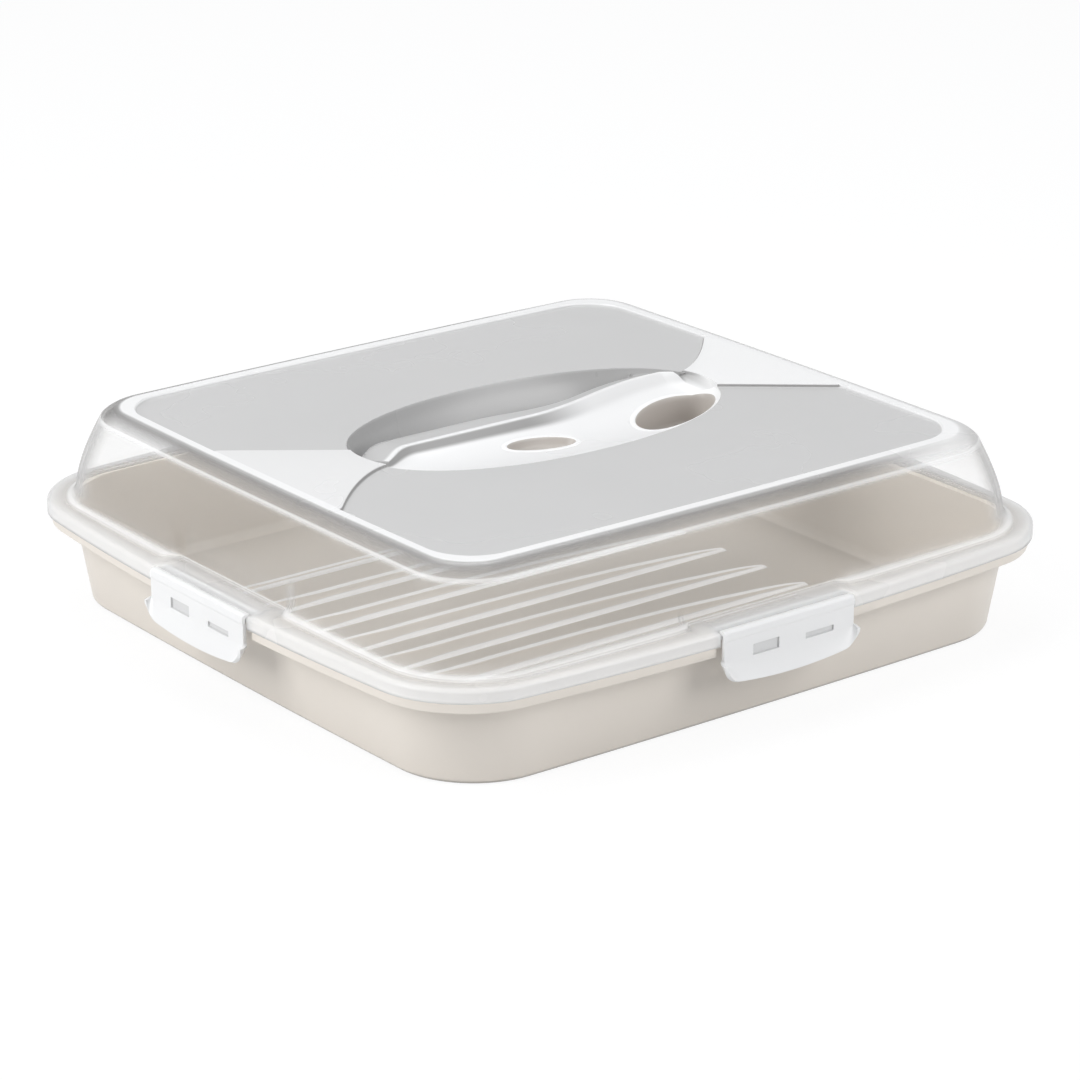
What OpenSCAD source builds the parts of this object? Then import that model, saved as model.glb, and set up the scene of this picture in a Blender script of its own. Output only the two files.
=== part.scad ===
// Square cake carrier: a deep tray with a ribbed floor, a clear hood that drops over its rim,
// and four snap clips that hang from the hood and close over the rim of the tray.
// The origin is the middle of the tray's underside, X runs along the carrying grip, Z is up.

/* [Tray] */
// Half length of the tray's bottom along X
tray_x = 201; // [180:1:220]
// Half depth of the tray's bottom along Y
tray_y = 193.5; // [175:0.5:210]
// Corner radius of the tray's bottom
tray_corner = 48; // [30:1:60]
// How far the tray's sides bulge at their middles
tray_bow = 2.5; // [0:0.5:5]
// How far the tray's wall leans out from foot to rim
tray_lean = 9.3; // [6:0.1:11]
// Radius of the tray's foot edge
foot_round = 4; // [2:0.5:8]
// Wall of the tray
tray_wall = 2.2; // [1.6:0.1:2.6]
// Height of the tray's rim
rim_h = 60.5; // [50:0.5:70]

/* [Rim] */
// Half length of the hood's rim at its corners
rim_x = 217; // [212:1:224]
// Half depth of the hood's rim at its corners
rim_y = 207; // [202:1:214]
// Corner radius of the hood's rim
rim_corner = 46; // [36:1:56]
// How far the rim bulges at the middle of each side
rim_bow = 12.5; // [9:0.5:16]
// Height of the hood's skirt
skirt_h = 8; // [6:0.5:10]
// Height of the tray's turned down lip
lip_h = 12.5; // [10:0.5:15]
// Thickness of the lip
lip_wall = 2; // [1.6:0.1:2.4]
// Gap between the skirt and the lip inside it
skirt_gap = 0.5; // [0.4:0.05:0.8]

/* [Floor ribs] */
// Number of ribs on the floor
rib_count = 7; // [3:2:9]
// Distance between the ribs
rib_pitch = 35; // [30:1:40]
// Width of a rib at its middle
rib_w = 22; // [12:1:26]
// Half length of a rib
rib_x = 138; // [100:1:150]
// Height of a rib
rib_h = 1.6; // [1:0.1:3]

/* [Hood] */
// Height of the closed carrier
top_h = 115; // [105:1:125]
// Wall of the hood
hood_wall = 2; // [1.6:0.1:2.6]
// Half length of the flat top
top_x = 180; // [170:1:186]
// Half depth of the flat top
top_y = 170.6; // [160:0.2:176]
// Corner radius of the flat top
top_corner = 24; // [16:1:32]
// How far the top's sides bulge at their middles
top_bow = 2.3; // [0:0.1:4]
// How far the rolled shoulder reaches out
shoulder_w = 12.5; // [8:0.5:15]
// How far the rolled shoulder drops
shoulder_h = 5.8; // [4:0.1:8]
// How far the hood's foot stands out from the flat top
hood_spread = 28; // [24:0.5:31]
// How far the hood's sides bulge at their middles
hood_bow = 0.5; // [0:0.5:3]
// How far the two panels lie below the band and the border
panel_drop = 1.6; // [1:0.1:2]
// Width of the border at the ends of the top
border_x = 5; // [4:0.5:8]
// Width of the border along the front and the back
border_y = 8; // [6:0.5:10]
// Half width of the raised band where it meets the border
band_end = 60; // [50:1:70]
// Half width of the raised band where it meets the grip
band_neck = 16; // [12:1:20]

/* [Grip] */
// Half length of the grip's well
well_x = 122; // [110:1:126]
// Half width of the grip's well
well_y = 66.5; // [60:0.5:70]
// Depth of the finger pocket behind the grip
pocket_d = 24; // [18:1:26]
// How far the grip's back edge lies below its crest
back_fall = 5; // [3:0.5:7]
// Depth of the dish in front of the grip, at its deep end
dish_d = 8; // [5:0.5:9]
// Wall of the grip's well
well_wall = 3.5; // [3:0.1:4]
// Half length of the thumb opening
thumb_x = 37; // [30:1:38]
// Half width of the thumb opening
thumb_y = 14; // [11:0.5:15]
// Depth of the thumb opening below the panels
thumb_d = 24; // [16:1:26]
// Half length of the slot in the dish
slot_x = 19; // [14:1:22]
// Half width of the slot in the dish
slot_y = 6; // [4:0.5:8]
// Depth of the slot below the dish
slot_d = 6; // [4:0.5:8]

/* [Clips] */
// Width of a clip
clip_w = 91; // [80:1:96]
// Height of a clip
clip_h = 34; // [30:0.5:36]
// Thickness of a clip
clip_wall = 2.1; // [1.8:0.1:2.4]
// Drop of the clip's lower edge from its ends to its middle
clip_arc = 9; // [6:0.5:12]
// How far the finger lip of a clip leans out
clip_flare = 3; // [1.5:0.5:4]
// Gap at each end of a clip
clip_gap = 1; // [0.6:0.1:1.5]
// Diameter of the hinge bar
bar_d = 3; // [2.6:0.1:3.4]
// Gap between the hinge bar and the clip's barrels
bar_gap = 0.1; // [0.08:0.01:0.15]
// Wall of the clip's barrels
barrel_wall = 1.6; // [1.4:0.1:1.8]
// How far a clip stands out from the rim
clip_proud = 1.5; // [1:0.1:2]
// Width of the windows in a clip
window_w = 19; // [14:1:22]
// Height of the windows in a clip
window_h = 7; // [5:0.5:8]
// Distance of the windows' middles from the clip's middle
window_at = 18.5; // [16:0.5:20]
// How far the alcove behind each clip is set into the hood
alcove_d = 3; // [2:0.2:5]

/* [Hidden] */
eps = 0.01;
corner_steps = 7;
bay = clip_w / 2 + 9;
bay_fade = 3;
brim_top = rim_h + hood_wall;
panel_z = top_h - panel_drop;
top_wall = 2.2;
ceiling_z = panel_z - top_wall;
edge_round = 2.6;
foot_fillet = 5;

// Hinge of a clip, seen in section: out is measured from the rim's outermost line, z from the floor
clip_clear = 0.3;
barrel_r = bar_d / 2 + bar_gap + barrel_wall;
face_out = clip_proud;
axis_out = face_out - clip_wall - barrel_r + 0.8;
axis_z = brim_top - barrel_r;
rail_t = 2.6;
rail_out = axis_out - barrel_r - 1.3;
lip_back = rail_out - rail_t - skirt_gap;
ear_r = bar_d / 2 + 0.5;
ear_end = 5.4;
ear_mid = 6;

// Outline of one level: a rounded rectangle with bulging sides, set in by notch behind each clip
function stations(l) =
    [-0.8 * l, -bay - bay_fade, -bay, 0, bay, bay + bay_fade, 0.8 * l];
function dent(s, notch) = abs(s) <= bay + eps ? notch : 0;
function bulge(p, hx, hy, bow) =
    [p[0] * (1 + bow / hx * (1 - pow(p[1] / hy, 2))), p[1] * (1 + bow / hy * (1 - pow(p[0] / hx, 2)))];
function corner(cx, cy, r, from) =
    [for (i = [0 : corner_steps]) [cx + r * cos(from + 90 * i / corner_steps), cy + r * sin(from + 90 * i / corner_steps)]];
function outline(hx, hy, r, bow, notch = 0) =
    let (lx = hx - r, ly = hy - r)
    [for (p = concat(
        [for (s = stations(ly)) [hx - dent(s, notch), s]],
        corner(lx, ly, r, 0),
        [for (s = stations(lx)) [-s, hy - dent(s, notch)]],
        corner(-lx, ly, r, 90),
        [for (s = stations(ly)) [-hx + dent(s, notch), -s]],
        corner(-lx, -ly, r, 180),
        [for (s = stations(lx)) [s, -hy + dent(s, notch)]],
        corner(lx, -ly, r, 270)))
        bulge(p, hx, hy, bow)];
function level(hx, hy, r, bow, z, notch = 0) =
    [for (p = outline(hx, hy, r, bow, notch)) [p[0], p[1], z]];

// Closed solid along a run of outlines of the same count: its first outline is capped from below and
// its last from above, and the run may turn back inside itself, which makes a shell
module loft(levels) {
    n = len(levels[0]);
    k = len(levels);
    walls = [for (j = [0 : k - 2]) for (i = [0 : n - 1])
        let (a = j * n + i, b = j * n + (i + 1) % n)
        each [[a, a + n, b], [b, a + n, b + n]]];
    floor_face = [for (i = [0 : n - 1]) i];
    roof_face = [for (i = [n - 1 : -1 : 0]) (k - 1) * n + i];
    polyhedron([for (l = levels) each l], concat(walls, [floor_face, roof_face]));
}

// Tray
function tray_level(d, z) = level(tray_x + d, tray_y + d, tray_corner + d, tray_bow, z);
function tray_grow(z) = tray_lean * (z - foot_round) / (rim_h - foot_round);
function lip_level(d, z) = level(rim_x + d, rim_y + d, rim_corner + d, rim_bow, z);

function mouth_grow() = tray_grow(rim_h) - tray_wall;
module tray_shell() {
    out = -hood_wall - skirt_gap;
    inside = foot_round + 2;
    loft(concat(
        [for (t = [0 : 30 : 90]) tray_level(-foot_round * (1 - sin(t)), foot_round * (1 - cos(t)))],
        [tray_level(tray_grow(rim_h - lip_wall), rim_h - lip_wall),
            lip_level(out - lip_wall, rim_h - lip_wall),
            lip_level(out - lip_wall, rim_h - lip_h),
            lip_level(out - 0.6, rim_h - lip_h),
            lip_level(out, rim_h - lip_h + 0.8),
            lip_level(out, rim_h - 1),
            lip_level(out - 1, rim_h),
            tray_level(mouth_grow(), rim_h)],
        [for (t = [90 : -30 : 0])
            tray_level(-tray_wall - inside * (1 - sin(t)) + tray_grow(tray_wall + inside),
                tray_wall + inside * (1 - cos(t)))]));
}

// One rib: a low pad, pointed at both ends
module rib(at) {
    steps = 16;
    side = [for (i = [0 : steps]) let (t = -1 + 2 * i / steps) [rib_x * t, rib_w / 2 * pow(1 - t * t, 0.8)]];
    translate([0, at, tray_wall - 0.2])
        linear_extrude(rib_h + 0.2)
            polygon(concat(side, [for (i = [steps - 1 : -1 : 1]) [side[i][0], -side[i][1]]]));
}

// Places its children on each of the four sides: facing -Y, +Y, -X and +X
module on_side(i) {
    turn = [0, 180, -90, 90][i];
    half = [rim_y, rim_y, rim_x, rim_x][i] + rim_bow;
    rotate([0, 0, turn]) translate([0, -half, 0]) children();
}

// Box given by its ends along the side, its reach out from the rim line, and its heights
module slab(u, out_low, out_high, z_low, z_high) {
    translate([-u, -out_high, z_low]) cube([2 * u, out_high - out_low, z_high - z_low]);
}

module tray() {
    recess_u = clip_w / 2 + clip_gap + hood_wall;
    color("#d9d4cc") {
        difference() {
            tray_shell();
            for (i = [0 : 3]) on_side(i)
                slab(recess_u, lip_back, 20, rim_h - lip_h - 1, rim_h + 1);
        }
        for (i = [0 : 3]) on_side(i)
            slab(recess_u + 1, lip_back - lip_wall, lip_back, rim_h - lip_h, rim_h - 1);
        for (i = [0 : rib_count - 1]) rib((i - (rib_count - 1) / 2) * rib_pitch);
    }
}

// Hood: spread is how far out the wall lies at a height, from 0 at the flat top to hood_spread
function hood_level(d, z, notch = 0) =
    level(top_x + d, top_y + d, top_corner + d, top_bow + (hood_bow - top_bow) * d / hood_spread, z, notch);
function wall_spread(t) = shoulder_w + (hood_spread - shoulder_w) * sin(90 * t);
function wall_height(t) = top_h - shoulder_h - t * (top_h - shoulder_h - brim_top);
function skirt_level(d, z) = level(rim_x + d, rim_y + d, rim_corner + d, rim_bow, z);
wall_steps = [1, 0.85, 0.68, 0.5, 0.32, 0.16, 0];
reversed_steps = [for (i = [len(wall_steps) - 1 : -1 : 0]) wall_steps[i]];

function hood_run() =
    let (w = hood_wall, skirt_low = brim_top - w - skirt_h + 2)
    concat(
        [hood_level(shoulder_w * 0.5 - w, ceiling_z), hood_level(shoulder_w - w * 1.5, ceiling_z - 2.5)],
        [for (t = reversed_steps) if (t > 0 && wall_height(t) < ceiling_z - 3)
            hood_level(wall_spread(t) - w, t == 1 ? rim_h : wall_height(t), alcove(t))],
        [skirt_level(-w, rim_h),
            skirt_level(-w, skirt_low),
            skirt_level(0, skirt_low),
            skirt_level(0, brim_top - edge_round),
            skirt_level(-edge_round * 0.3, brim_top - edge_round * 0.3),
            skirt_level(-edge_round, brim_top)],
        [hood_level(hood_spread + foot_fillet, brim_top, alcove_d + foot_fillet),
            hood_level(hood_spread + foot_fillet * 0.25, brim_top + foot_fillet * 0.25, alcove_d + foot_fillet * 0.25)],
        [for (t = wall_steps) if (t < 1) hood_level(wall_spread(t), wall_height(t), alcove(t))],
        [hood_level(shoulder_w * 0.55, top_h - shoulder_h * 0.32), hood_level(0, top_h)]);
function alcove(t) = alcove_d * pow(max(0, t - 0.35) / 0.65, 1.5);

// Panels: the two lower fields of the top, in front of the band and behind it
function band_half(x, power) =
    let (t = max(0, min(1, (abs(x) - well_x + 6) / (top_x - border_x - well_x + 6))))
    band_neck + (band_end - band_neck) * pow(t, power);
module panel() {
    px = top_x - border_x;
    steps = 10;
    start = well_x - 6;
    function across(i) = start + (px + 3 - start) * i / steps;
    difference() {
        intersection() {
            polygon(outline(px, top_y - border_y, top_corner + 4, top_bow));
            polygon(concat(
                [for (i = [0 : steps]) [-across(steps - i), -band_half(across(steps - i), 1.5)]],
                [for (i = [0 : steps]) [across(i), -band_half(across(i), 1)]],
                [[px + 3, -top_y], [-px - 3, -top_y]]));
        }
        for (turn = [0, 180]) rotate(turn) translate(well_at) polygon(oval(well_x - 1.5, well_y - 1.5, 0));
    }
}

// Grip: the well is an oval, crest is the line of the grip's front edge, back_edge that of its back
well_at = [3, 2];
well_power = 2.15;
seat = 0.3;
function ramp(t) = let (c = max(0, min(1, t))) c * c * (3 - 2 * c);
function well_half(x) =
    well_y * pow(max(0, 1 - pow(abs((x - well_at[0]) / well_x), well_power)), 1 / well_power);
function crest(x) = 4 + 19 * ramp(x / 100) - 19 * ramp((-85 - x) / 35);
function grip_w(x) = 28 - 11 * ramp((x + 20) / 70);

// Points across the well at x, for the front from its edge to the crest and for the back likewise
function well_row(x, grow, back) =
    let (h = well_half(x),
        f = well_at[1] - h,
        b = well_at[1] + h,
        share = h > 0 ? max(0.1, min(0.8, (crest(x) - f) / (2 * h))) : 0.5,
        c = f + 2 * h * share,
        r = c + min(grip_w(x), (b - c) * 0.85),
        dish = (4 + (dish_d - 4) * ramp((x + 60) / 120)) * min(1, h / 30),
        deep = pocket_d * (1 - exp(-(b - r) / 14)),
        fall = back_fall * min(1, (r - c) / 16),
        rear = top_h - panel_drop - fall)
    back
    ? [[b + grow, panel_z - seat],
        [r + (b - r) * 0.9, panel_z - deep * 0.45],
        [r + (b - r) * 0.68, panel_z - deep * 0.9],
        [r + (b - r) * 0.3, panel_z - deep],
        [r + (b - r) * 0.12, rear - max(0, deep - fall) * 0.7],
        [r, rear],
        [c + (r - c) * 0.35, panel_z - fall * 0.2],
        [c, top_h - seat]]
    : [[f - grow, panel_z - seat],
        [f + (c - f) * 0.08, panel_z - dish * 0.5],
        [f + (c - f) * 0.22, panel_z - dish * 0.88],
        [f + (c - f) * 0.42, panel_z - dish],
        [f + (c - f) * 0.66, panel_z - dish * 0.9],
        [c - (c - f) * 0.18, panel_z - dish * 0.62],
        [c - (c - f) * 0.07, panel_z - dish * 0.08],
        [c, top_h - seat]];

// The well as levels: each goes round the oval, and they close in from its edge upon the crest
ring_count = len(outline(10, 10, 1, 0));
east = 3;
rings = 7;
function ring_angle(i) = 360 * (i - east) / ring_count;
function shrink(k) = 1 - 0.012 * k;
function well_level(k, grow, drop) =
    [for (i = [0 : ring_count - 1])
        let (a = ring_angle(i), x = well_at[0] + well_x * shrink(k) * cos(a), row = well_row(x, grow, sin(a) > 0),
            tip = abs(sin(a)) < 0.001 ? grow * sign(cos(a)) * (k == 0 ? 1 : 0) : 0)
        [x + tip + (k == 0 ? grow * cos(a) : 0), row[k][0], row[k][1] - drop]];
function well_crest(drop) =
    [for (m = [1 : ring_count / 2])
        let (x = well_at[0] + well_x * shrink(rings) * cos(360 * m / ring_count), row = well_row(x, 0, true))
        [x, row[rings][0], row[rings][1] - drop]];
function flat_level(z) =
    [for (p = well_level(0, 0, 0)) [p[0], p[1], z]];

// Hood and well in one skin: under the grip, down inside the wall, round the skirt, up and over the top
module hood_shell() {
    n = ring_count;
    spread = well_wall * 0.7;
    levels = concat(
        [for (k = [rings - 1 : -1 : 1]) well_level(k, 0, well_wall)],
        [well_level(0, spread, well_wall - 0.8)],
        hood_run(),
        [flat_level(top_h)],
        [for (k = [0 : rings - 1]) well_level(k, 0, 0)]);
    last = len(levels) - 1;
    half = n / 2;
    walls = [for (j = [0 : last - 1]) for (i = [0 : n - 1])
        let (a = j * n + i, b = j * n + (i + 1) % n)
        each [[a, a + n, b], [b, a + n, b + n]]];
    low_crest = (last + 1) * n - 1;
    high_crest = low_crest + half;
    function ring_id(level, m) = level * n + (east + m + n) % n;
    function strip(level, top, m) = concat(
        [[ring_id(level, m), top + m + 1, ring_id(level, m + 1)],
            [ring_id(level, -m), ring_id(level, -m - 1), top + m + 1]],
        m > 0
        ? [[ring_id(level, m), top + m, top + m + 1],
            [ring_id(level, -m), top + m + 1, top + m]]
        : []);
    high = [for (m = [0 : half - 1]) each strip(last, high_crest, m)];
    low = [for (m = [0 : half - 1]) for (t = strip(0, low_crest, m)) [t[0], t[2], t[1]]];
    polyhedron(concat([for (l = levels) each l], well_crest(well_wall), well_crest(0)), concat(walls, high, low));
}

function oval(hx, hy, turn, steps = 40) =
    [for (i = [0 : steps - 1]) let (a = 360 * i / steps, x = hx * cos(a), y = hy * sin(a))
        [x * cos(turn) - y * sin(turn), x * sin(turn) + y * cos(turn)]];
thumb_at = [82, -26];
thumb_turn = 19;
slot_at = [-8, -27];
module thumb_shape(grow) {
    translate(thumb_at) polygon(oval(thumb_x + grow, thumb_y + grow, thumb_turn));
}
module slot_shape(grow) {
    translate(slot_at) polygon(oval(slot_x + grow, slot_y + grow, -4, 28));
}

// Hinge rail of one clip: a rib along the cut in the rim, with three ears that hold the round bar
module hinge_rail() {
    cut = clip_w / 2 + clip_gap;
    slab(cut + 1, rail_out - rail_t, rail_out, axis_z - bar_d / 2 - 0.7, rim_h + 1);
    for (u = [-cut + ear_end / 2, 0, cut - ear_end / 2])
        translate([u, 0, 0]) {
            w = u == 0 ? ear_mid : ear_end / 2 + 0.5;
            slab(w, rail_out - 1, axis_out - 0.4, axis_z - bar_d / 2 + 0.3, axis_z + 0.5);
            translate([0, -axis_out, axis_z]) rotate([0, 90, 0]) cylinder(r = ear_r, h = 2 * w, center = true, $fn = 24);
        }
    translate([0, -axis_out, axis_z]) rotate([0, 90, 0])
        cylinder(d = bar_d, h = 2 * cut + 1, center = true, $fn = 24);
}

module cup(floor_z, brink_z) {
    difference() {
        translate([0, 0, floor_z - top_wall]) linear_extrude(brink_z - floor_z + top_wall) children(0);
        translate([0, 0, floor_z]) linear_extrude(brink_z - floor_z + 1) children(1);
    }
}

module lid() {
    cut = clip_w / 2 + clip_gap;
    thumb_z = panel_z - thumb_d;
    slot_z = panel_z - 5 - slot_d;
    color("#eceeef", 0.55) {
        difference() {
            hood_shell();
            for (turn = [0, 180]) rotate([0, 0, turn])
                translate([0, 0, panel_z]) linear_extrude(panel_drop + 1) panel();
            for (i = [0 : 3]) on_side(i)
                slab(cut, rail_out, 20, brim_top - 20, brim_top + 1);
            translate([0, 0, thumb_z]) linear_extrude(thumb_d + 5) thumb_shape(0);
            translate([0, 0, slot_z]) linear_extrude(slot_d + 10) slot_shape(0);
        }
        cup(thumb_z, panel_z - dish_d - 0.2) { thumb_shape(top_wall); thumb_shape(0); }
        cup(slot_z, panel_z - 7) { slot_shape(top_wall); slot_shape(0); }
        for (i = [0 : 3]) on_side(i) hinge_rail();
    }
}

// Clip: barrels on the bar, a face with two windows, a finger lip and two hook noses
module clip_profile() {
    low = brim_top - clip_h;
    face = face_out - clip_wall;
    polygon([[face, axis_z - 1], [face, low + 11], [face + clip_flare, low], [face_out + clip_flare, low],
        [face_out, low + 11], [face_out, brim_top - 2.4], [face_out - 0.7, brim_top - 0.8],
        [face_out - 2.2, brim_top], [axis_out + 0.2, brim_top], [axis_out + 1, axis_z + bar_d / 2 + 0.6]]);
}

// Outline of the clip's face: square shoulders above, a shallow arc below
module clip_face() {
    half = clip_w / 2;
    low = brim_top - clip_h;
    arc_r = (half * half + clip_arc * clip_arc) / (2 * clip_arc);
    intersection() {
        translate([-half, low]) square([clip_w, clip_h + 1]);
        translate([0, low + arc_r]) circle(r = arc_r, $fn = 160);
    }
}

module clip_piece() {
    barrel_u = clip_w / 2 - ear_end - 0.6;
    nose_z = rim_h - lip_h - 0.4;
    color("#f4f5f6", 0.85)
    difference() {
        union() {
            intersection() {
                rotate([90, 0, -90]) translate([0, 0, -clip_w / 2]) linear_extrude(clip_w)
                    clip_profile();
                translate([0, 30, 0]) rotate([90, 0, 0]) linear_extrude(60) clip_face();
            }
            for (s = [-1, 1])
                translate([s * (barrel_u + ear_mid + 0.5) / 2, -axis_out, axis_z]) rotate([0, 90, 0])
                    cylinder(r = barrel_r, h = barrel_u - ear_mid - 0.5, center = true, $fn = 40);
            for (s = [-1, 1])
                translate([s * window_at, 0, 0]) rotate([90, 0, -90]) translate([0, 0, -window_w / 2])
                    linear_extrude(window_w) polygon([[face_out - clip_wall + 0.2, nose_z - 7],
                        [face_out - clip_wall + 0.2, nose_z - 1.2], [lip_back + clip_clear + 1, nose_z],
                        [lip_back + clip_clear, nose_z - 0.8], [lip_back + clip_clear + 0.8, nose_z - 2.2]]);
        }
        translate([0, -axis_out, axis_z]) rotate([0, 90, 0])
            cylinder(r = bar_d / 2 + bar_gap, h = clip_w + 2, center = true, $fn = 40);
        translate([0, -axis_out, axis_z]) rotate([35, 0, 0])
            translate([-clip_w / 2, 0, -bar_d * 0.4]) cube([clip_w, barrel_r + 1, bar_d * 0.8]);
        for (u = [-clip_w / 2 + ear_end / 2 - 1, 0, clip_w / 2 - ear_end / 2 + 1])
            translate([u, 0, 0]) slab(u == 0 ? ear_mid + 0.4 : ear_end / 2 + 1.6, -20,
                axis_out + ear_r + 0.4, axis_z - ear_r - 3, brim_top + 1);
        for (s = [-1, 1])
            translate([s * window_at, 0, 0])
                slab(window_w / 2, face_out - clip_wall - 1, face_out + 1, nose_z + 0.6, nose_z + 0.6 + window_h);
    }
}

module clip_front() { on_side(0) clip_piece(); }
module clip_back() { on_side(1) clip_piece(); }
module clip_left() { on_side(2) clip_piece(); }
module clip_right() { on_side(3) clip_piece(); }

tray();
lid();
clip_front();
clip_back();
clip_left();
clip_right();
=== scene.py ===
"""Cake carrier: a pale tray, a frosted hood with a moulded grip, and four snap clips."""
import math
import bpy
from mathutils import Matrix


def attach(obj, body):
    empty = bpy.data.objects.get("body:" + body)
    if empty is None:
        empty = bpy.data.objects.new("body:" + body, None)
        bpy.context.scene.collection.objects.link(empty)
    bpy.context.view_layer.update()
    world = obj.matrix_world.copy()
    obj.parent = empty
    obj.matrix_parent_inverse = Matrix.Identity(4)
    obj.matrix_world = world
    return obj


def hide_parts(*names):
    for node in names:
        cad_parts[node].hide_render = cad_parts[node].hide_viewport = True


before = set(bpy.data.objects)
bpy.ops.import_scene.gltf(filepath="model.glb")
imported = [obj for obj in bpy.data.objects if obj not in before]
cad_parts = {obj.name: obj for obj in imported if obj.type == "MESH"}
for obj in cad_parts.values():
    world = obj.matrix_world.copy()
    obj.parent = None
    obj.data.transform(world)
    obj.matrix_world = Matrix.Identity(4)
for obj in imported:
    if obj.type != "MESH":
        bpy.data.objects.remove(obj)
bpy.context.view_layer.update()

from types import SimpleNamespace

import bmesh
import bpy
import numpy as np
from mathutils import Vector

bl_info = {
    "name": "Cake carrier with snap clips",
    "version": (1, 0, 0),
    "blender": (4, 5, 0),
    "location": "3D View > Sidebar > Cake carrier",
    "description": "Builds the tray, the frosted hood and the snap clips of a cake carrier",
    "category": "Add Mesh",
}

SIDES = ("front", "back", "left", "right")


def length(name, description, default):
    """A size in metres that shows in the sidebar."""
    return bpy.props.FloatProperty(
        name=name, description=description, default=default, unit="LENGTH", precision=4)


def tint(name, description, default):
    """A colour that shows in the sidebar."""
    return bpy.props.FloatVectorProperty(
        name=name, description=description, default=default, subtype="COLOR", size=3, min=0, max=1)


class CarrierSizes(bpy.types.PropertyGroup):
    """The driving sizes of the carrier, which are those of its solids."""
    tray_x: length("Tray half length", "Half length of the tray's foot", 0.201)
    tray_y: length("Tray half width", "Half width of the tray's foot", 0.1935)
    tray_corner: length("Tray corner", "Radius of the tray's corners", 0.048)
    tray_bow: length("Tray bow", "How far each side of the tray bulges", 0.0025)
    tray_lean: length("Tray lean", "How far the tray's walls lean out at the rim", 0.0093)
    tray_foot: length("Tray foot", "Radius between the tray's floor and walls", 0.004)
    tray_wall: length("Tray wall", "Thickness of the tray", 0.0022)
    rim_height: length("Rim height", "Height of the tray's rim", 0.0605)
    rim_x: length("Rim half length", "Half length of the rim between its corners' middles", 0.217)
    rim_y: length("Rim half width", "Half width of the rim between its corners' middles", 0.207)
    rim_corner: length("Rim corner", "Radius of the rim's corners", 0.046)
    rim_bow: length("Rim bow", "How far each side of the rim bulges", 0.0125)
    skirt_drop: length("Skirt", "Depth of the hood's skirt below the rim", 0.008)
    lip_drop: length("Lip", "Depth of the tray's lip", 0.0125)
    lip_wall: length("Lip wall", "Thickness of the tray's lip", 0.002)
    skirt_gap: length("Skirt gap", "Gap between the lip and the skirt", 0.0005)
    rib_x: length("Rib half length", "Half length of a rib", 0.143)
    top_height: length("Height", "Height of the carrier", 0.115)
    hood_wall: length("Hood wall", "Thickness of the hood", 0.002)
    top_x: length("Top half length", "Half length of the hood's flat top", 0.180)
    top_y: length("Top half width", "Half width of the hood's flat top", 0.1706)
    top_corner: length("Top corner", "Radius of the flat top's corners", 0.024)
    top_bow: length("Top bow", "How far each side of the flat top bulges", 0.0023)
    shoulder_width: length("Shoulder width", "Width of the shoulder round the flat top", 0.0125)
    shoulder_drop: length("Shoulder drop", "Fall of the shoulder", 0.0058)
    hood_spread: length("Hood spread", "Reach of the hood's wall beyond the flat top", 0.028)
    hood_bow: length("Hood bow", "Bulge of each side at the foot of the hood's wall", 0.0005)
    panel_drop: length("Panel drop", "How far the two panels lie below the band", 0.0016)
    border_x: length("Border at the ends", "Width of the border left and right of the panels", 0.0042)
    border_y: length("Border at the sides", "Width of the border in front and behind the panels", 0.005)
    band_end: length("Band end", "Half width of the band at its ends", 0.060)
    band_neck: length("Band neck", "Half width of the band beside the well", 0.016)
    well_x: length("Well half length", "Half length of the grip's well", 0.122)
    well_y: length("Well half width", "Half width of the grip's well", 0.0665)
    pocket_drop: length("Finger pocket", "Depth of the pocket behind the grip", 0.024)
    back_fall: length("Grip fall", "Fall of the grip's top towards its back", 0.005)
    dish_drop: length("Dish", "Depth of the dish in front of the grip", 0.008)
    alcove_depth: length("Alcove", "How far the hood is set in behind each clip", 0.003)
    clip_width: length("Clip width", "Width of a clip", 0.091)
    clip_height: length("Clip height", "Height of a clip", 0.0305)
    clip_wall: length("Clip wall", "Thickness of a clip", 0.0021)
    clip_arc: length("Clip arc", "Drop of the clip's lower edge from its ends to its middle", 0.0035)
    clip_flare: length("Clip flare", "How far the clip's finger lip leans out", 0.003)
    clip_proud: length("Clip reach", "How far a clip stands out from the rim", 0.0015)
    clip_gap: length("Clip gap", "Gap at each end of a clip", 0.001)


class CarrierFinish(bpy.types.PropertyGroup):
    """The colours of the carrier and of the room it stands in."""
    tray_tint: tint("Tray", "Colour of the tray", (0.74, 0.69, 0.625))
    # The rib edges' colour is a painted highlight: the ribs are of the tray's own plastic
    rib_highlight_tint: tint("Rib edges", "Colour of the polished edges of the tray's ribs", (0.98, 0.978, 0.97))
    rail_tint: tint("Hinge rails", "Colour of the frosted hinge rails", (0.80, 0.80, 0.795))
    shine_tint: tint("Hood", "Colour of the hood where it is lightest", (0.93, 0.93, 0.925))
    # The openings' colour is painted shade: darker than the hood inside the thumb opening and the slot
    cup_tint: tint("Openings", "Colour inside the thumb opening and the slot", (0.52, 0.485, 0.45))
    clip_tint: tint("Clips", "Colour of the clips", (0.86, 0.86, 0.855))
    floor_tint: tint("Floor", "Colour of the floor", (0.80, 0.80, 0.80))


def millimetres():
    """Every size of the carrier in millimetres, by its name."""
    group = bpy.context.scene.carrier_sizes
    return SimpleNamespace(**{name: getattr(group, name) * 1000 for name in CarrierSizes.__annotations__})


def ramp(t):
    """Smooth step: 3t squared less 2t cubed, held at 0 and 1 outside."""
    t = np.clip(t, 0, 1)
    return t * t * (3 - 2 * t)


def stations(marks, counts):
    """Evenly spaced stations between neighbouring marks, without the last mark."""
    return np.concatenate([np.linspace(a, b, n, endpoint=False) for a, b, n in zip(marks, marks[1:], counts)])


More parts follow.
